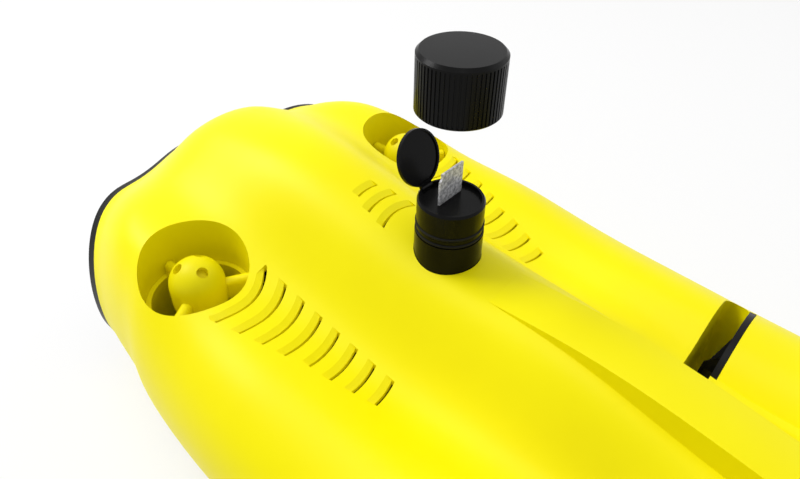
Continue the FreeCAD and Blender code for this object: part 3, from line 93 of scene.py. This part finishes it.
def moulded(name, light, dark, rough, rough_spread, grain_size, grain_strength,
            drift=COLOUR_DRIFT, **sockets):
    """Moulded plastic: colour drift, patchy gloss and a fine grain."""
    material, tree, shader = new_material(name, **sockets)
    tree.links.new(blend_colours(tree, noise(tree, even(drift)), light, dark),
                   shader.inputs["Base Color"])
    patches = noise(tree, even(GLOSS_PATCHES))
    tree.links.new(spread(tree, patches, rough - rough_spread, rough + rough_spread),
                   shader.inputs["Roughness"])
    grain(tree, shader, 1.0 / grain_size, grain_strength, grain_size * GRAIN_DEPTH)
    return material


def metal(name, light, dark, rough, scales):
    """Metal with a fine turned or brushed grain, which is long along the axes of a low scale."""
    material, tree, shader = new_material(name, Metallic=1.0)
    lines = noise(tree, scales, detail=2.0)
    tree.links.new(blend_colours(tree, lines, light, dark), shader.inputs["Base Color"])
    tree.links.new(spread(tree, lines, rough - METAL_ROUGH_SPREAD, rough + METAL_ROUGH_SPREAD),
                   shader.inputs["Roughness"])
    return material


yellow_gloss = moulded(
    "yellow_gloss", (0.96, 0.86, 0.0), (0.94, 0.83, 0.0),
    rough=0.40, rough_spread=0.03, grain_size=0.0006, grain_strength=0.03, IOR=1.26)
yellow_satin = moulded(
    "yellow_satin", (0.86, 0.76, 0.0), (0.82, 0.72, 0.0),
    rough=0.46, rough_spread=0.05, grain_size=0.0005, grain_strength=0.06, IOR=1.26)
black_satin = moulded(
    "black_satin", (0.004, 0.004, 0.004), (0.007, 0.007, 0.007),
    rough=0.40, rough_spread=0.06, grain_size=0.0004, grain_strength=0.10, IOR=1.20)
black_gloss = moulded(
    "black_gloss", (0.002, 0.002, 0.002), (0.004, 0.004, 0.004),
    rough=0.24, rough_spread=0.05, grain_size=0.0005, grain_strength=0.06, IOR=1.19)
black_rubber = moulded(
    "black_rubber", (0.005, 0.005, 0.005), (0.009, 0.009, 0.008),
    rough=0.55, rough_spread=0.08, grain_size=0.0003, grain_strength=0.16, IOR=1.20)
card_grey = moulded(
    "card_grey", (0.30, 0.30, 0.31), (0.78, 0.78, 0.79),
    rough=0.40, rough_spread=0.06, grain_size=0.0004, grain_strength=0.08, drift=900.0)
board_green = moulded(
    "board_green", (0.010, 0.12, 0.045), (0.008, 0.09, 0.035),
    rough=0.40, rough_spread=0.06, grain_size=0.0010, grain_strength=0.10)
battery_blue = moulded(
    "battery_blue", (0.03, 0.06, 0.20), (0.02, 0.045, 0.16),
    rough=0.30, rough_spread=0.05, grain_size=0.0020, grain_strength=0.10)
weight_paint = moulded(
    "weight_paint", (0.10, 0.10, 0.105), (0.07, 0.07, 0.075),
    rough=0.55, rough_spread=0.08, grain_size=0.0007, grain_strength=0.20)
anodised = metal("anodised", (0.20, 0.20, 0.22), (0.13, 0.13, 0.15),
                 rough=0.34, scales=(900, 900, 60))
polished = metal("polished", (0.80, 0.80, 0.82), (0.70, 0.70, 0.72),
                 rough=0.16, scales=(300, 300, 300))
steel = metal("steel", (0.62, 0.62, 0.63), (0.48, 0.48, 0.50),
              rough=0.28, scales=(60, 60, 1400))
brass = metal("brass", (0.78, 0.58, 0.24), (0.62, 0.44, 0.16),
              rough=0.30, scales=(300, 300, 900))
window, window_tree, window_shader = new_material(
    "window", Roughness=0.04, IOR=1.49, Transmission_Weight=1.0,
    Base_Color=(0.92, 0.95, 0.96, 1.0))
grain(window_tree, window_shader, scale=900.0, strength=0.01, distance=0.0001)

SLOT_LOOKS = {
    "yellow_shell": yellow_gloss,
    "yellow_moulding": yellow_satin,
    "black_moulding": black_satin,
    "black_propeller": black_satin,
    "black_canister": black_gloss,
    "motor_can": anodised,
    "stainless_steel": steel,
    "clear_window": window,
    "lens_black": black_gloss,
    "reflector": polished,
    "circuit_board": board_green,
    "seal_rubber": black_rubber,
    "grey_card": card_grey,
    "battery_wrap": battery_blue,
    "brass_insert": brass,
    "weight_steel": weight_paint,
}
for entry in frame["record"]["subparts"]:
    mesh = frame["nodes"][entry["node"]].data
    mesh.materials.clear()
    mesh.materials.append(SLOT_LOOKS[entry["material_slot"]])


# ---------------------------------------------------------------------------------------- stage
FLOOR_REACH = 6.0
FLOOR_DROP = 0.0005  # keeps the floor clear of the skids' soles
FLOOR_WHITE_SHARE = 0.65  # the rest of the floor's look is lit, and takes the shadow
WORLD_LIGHT = 0.42  # what the world gives to the object; where it is seen, it is white
CRAFT_MIDDLE = (0, 0, 0.05)


def seen_rays(tree):
    """1 for what the camera sees directly, in a reflection or through a window, else 0."""
    rays = tree.nodes.new("ShaderNodeLightPath")
    seen = rays.outputs["Is Camera Ray"]
    for ray in ("Is Glossy Ray", "Is Transmission Ray"):
        either = tree.nodes.new("ShaderNodeMath")
        either.operation = "MAXIMUM"
        tree.links.new(seen, either.inputs[0])
        tree.links.new(rays.outputs[ray], either.inputs[1])
        seen = either.outputs["Value"]
    return seen


def background_material(name):
    """A pale surface that takes the shadow, partly covered by plain white where it is seen."""
    material, tree, shader = new_material(name, Roughness=0.9, Specular_IOR_Level=0.1,
                                          Base_Color=(0.90, 0.90, 0.90, 1.0))
    white = tree.nodes.new("ShaderNodeEmission")
    white.inputs["Strength"].default_value = 1.0
    share = tree.nodes.new("ShaderNodeMath")
    share.operation = "MULTIPLY"
    share.inputs[1].default_value = FLOOR_WHITE_SHARE
    mix = tree.nodes.new("ShaderNodeMixShader")
    tree.links.new(seen_rays(tree), share.inputs[0])
    tree.links.new(share.outputs["Value"], mix.inputs["Fac"])
    tree.links.new(shader.outputs["BSDF"], mix.inputs[1])
    tree.links.new(white.outputs["Emission"], mix.inputs[2])
    output = tree.nodes["Material Output"]
    tree.links.new(mix.outputs["Shader"], output.inputs["Surface"])
    return material


corners = [(-FLOOR_REACH, -FLOOR_REACH, 0.0), (FLOOR_REACH, -FLOOR_REACH, 0.0),
           (FLOOR_REACH, FLOOR_REACH, 0.0), (-FLOOR_REACH, FLOOR_REACH, 0.0)]
floor_mesh = bpy.data.meshes.new("floor")
floor_mesh.from_pydata(corners, [], [(0, 1, 2, 3)])
floor_mesh.materials.append(background_material("floor_white"))
floor = bpy.data.objects.new("floor", floor_mesh)
bpy.context.scene.collection.objects.link(floor)
floor.location.z = -FLOOR_DROP


def area_light(name, place, target, size, power):
    """A soft square lamp that faces a target."""
    lamp = bpy.data.lights.new(name, "AREA")
    lamp.size = size
    lamp.energy = power
    holder = bpy.data.objects.new(name, lamp)
    holder.location = place
    holder.rotation_euler = (Vector(target) - Vector(place)).to_track_quat("-Z", "Y").to_euler()
    bpy.context.scene.collection.objects.link(holder)


area_light("key", place=(0.35, -1.1, 1.4), target=CRAFT_MIDDLE, size=0.8, power=19.0)
area_light("fill", place=(-1.2, 0.6, 1.2), target=CRAFT_MIDDLE, size=1.2, power=3.0)
area_light("top", place=(0.0, 0.0, 1.8), target=(0, 0, 0), size=1.0, power=7.0)

world = bpy.data.worlds.new("studio")
bpy.context.scene.world = world
world.use_nodes = True
world_tree = world.node_tree
sky = world_tree.nodes["Background"]
sky.inputs["Color"].default_value = (1, 1, 1, 1)
world_tree.links.new(spread(world_tree, seen_rays(world_tree), WORLD_LIGHT, 1.0),
                     sky.inputs["Strength"])

# --------------------------------------------------------------------------------------- camera
CAMERA_PLACE = Vector((0.16998, 0.10769, 0.28669))
CAMERA_YAW = math.radians(220.70)
CAMERA_PITCH = math.radians(39.83)
CAMERA_ROLL = math.radians(0.86)
FOCAL_LENGTH = 29.64

forward = Vector((math.cos(CAMERA_YAW) * math.cos(CAMERA_PITCH),
                  math.sin(CAMERA_YAW) * math.cos(CAMERA_PITCH), -math.sin(CAMERA_PITCH)))
level_right = forward.cross(Vector((0, 0, 1))).normalized()
level_up = level_right.cross(forward)
right = math.cos(CAMERA_ROLL) * level_right + math.sin(CAMERA_ROLL) * level_up
up = math.cos(CAMERA_ROLL) * level_up - math.sin(CAMERA_ROLL) * level_right

lens = bpy.data.cameras.new("camera")
lens.sensor_width = 36.0
lens.lens = FOCAL_LENGTH
lens.clip_start = 0.01
camera = bpy.data.objects.new("camera", lens)
turned = Matrix((right, up, -forward)).transposed().to_4x4()
camera.matrix_world = Matrix.Translation(CAMERA_PLACE) @ turned
bpy.context.scene.collection.objects.link(camera)
bpy.context.scene.camera = camera
bpy.context.scene.view_settings.view_transform = "Standard"
